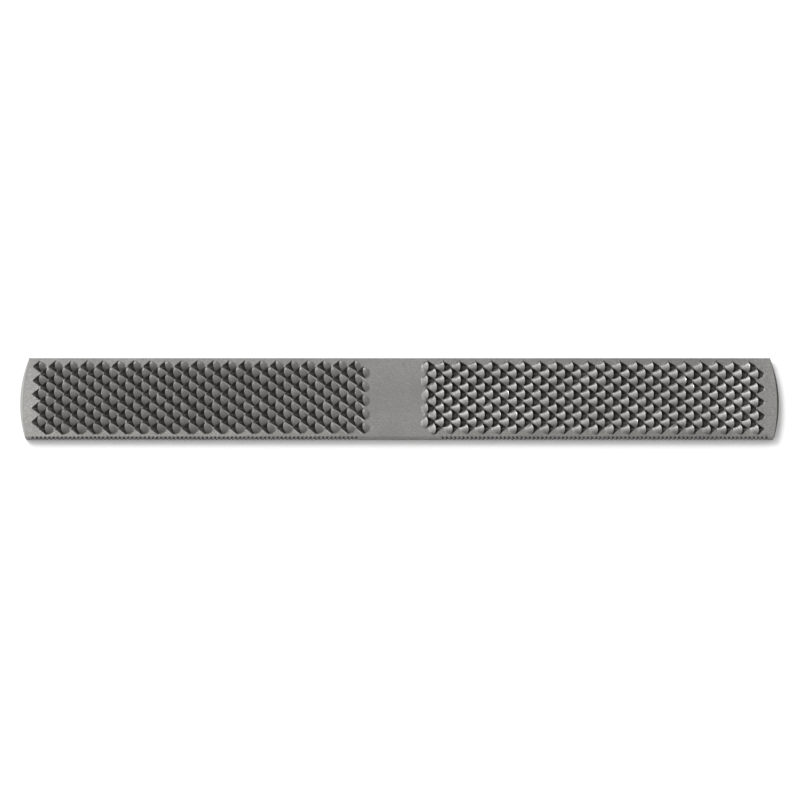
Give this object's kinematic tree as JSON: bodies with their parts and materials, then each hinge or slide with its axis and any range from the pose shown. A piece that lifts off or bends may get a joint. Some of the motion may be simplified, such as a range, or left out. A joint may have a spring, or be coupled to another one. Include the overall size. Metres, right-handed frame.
{
  "type": "wood rasp",
  "caption": "Double-ended hand rasp: a flat steel bar with rounded ends, rows of punched teeth on both halves of one face, a bare grip between them and one notched long edge.",
  "frame": {"origin": "under the middle of the bar, on the plane that its back rests on", "axes": "+X runs along the bar, +Y across it, and +Z out of the face with the punched teeth"},
  "size_m": [0.3556, 0.0382, 0.0071],
  "materials": {
    "hardened_steel": "hardened tool steel with a dull grey ground surface; fresh bright metal on the cutting edges of the teeth"
  },
  "bodies": {
    "root": {"rasp_bar": "hardened_steel"}
  },
  "joints": []
}
